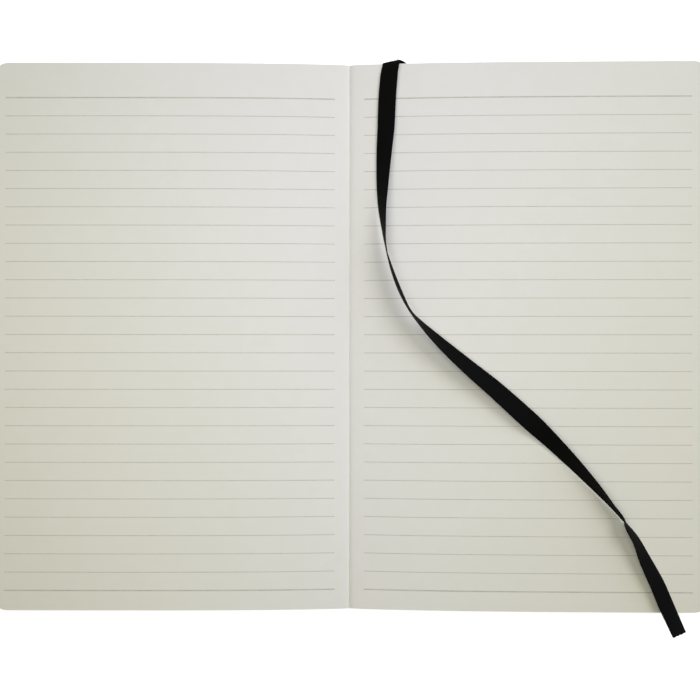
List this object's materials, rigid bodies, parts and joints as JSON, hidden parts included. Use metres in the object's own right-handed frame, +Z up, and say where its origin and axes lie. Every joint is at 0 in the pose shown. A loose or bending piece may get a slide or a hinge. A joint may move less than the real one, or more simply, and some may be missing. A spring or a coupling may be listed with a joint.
{
  "type": "open ruled notebook with ribbon marker",
  "caption": "Ruled notebook lying open at its middle, with ivory leaves, a plain black flush cover hinged at the spine and a black ribbon marker that twists across the right page.",
  "frame": {"origin": "centre of the spine's underside, at the middle of the open notebook's width and of its pages' height, on the surface that it lies on", "axes": "+X from the gutter to the right page's fore edge, +Y to the head of the pages, +Z up from the surface that it lies on"},
  "size_m": [0.279, 0.2212, 0.0176],
  "materials": {
    "cover": "fine-grained matte leatherette over thin board",
    "lining": "open-weave binding cloth",
    "endpaper": "matte uncoated",
    "page": "matte uncoated, ruled in grey",
    "ribbon": "satin-woven ribbon"
  },
  "bodies": {
    "spine": {"spine": "cover", "spine_lining": "lining"},
    "front_half": {"front_cover": "cover", "front_endpaper": "endpaper", "left_pages": "page"},
    "back_half": {"back_cover": "cover", "back_endpaper": "endpaper", "right_pages": "page", "ribbon_marker": "ribbon"}
  },
  "joints": [
    {"name": "front_cover_hinge", "type": "hinge", "parent": "spine", "child": "front_half", "pos_m": [-0.00308, 0, 0.00438], "axis": [0, 1, 0], "range_deg": [0, 88.5]},
    {"name": "back_cover_hinge", "type": "hinge", "parent": "spine", "child": "back_half", "pos_m": [0.00308, 0, 0.00438], "axis": [0, -1, 0], "range_deg": [0, 88.5], "deforming": ["ribbon_marker"]}
  ]
}
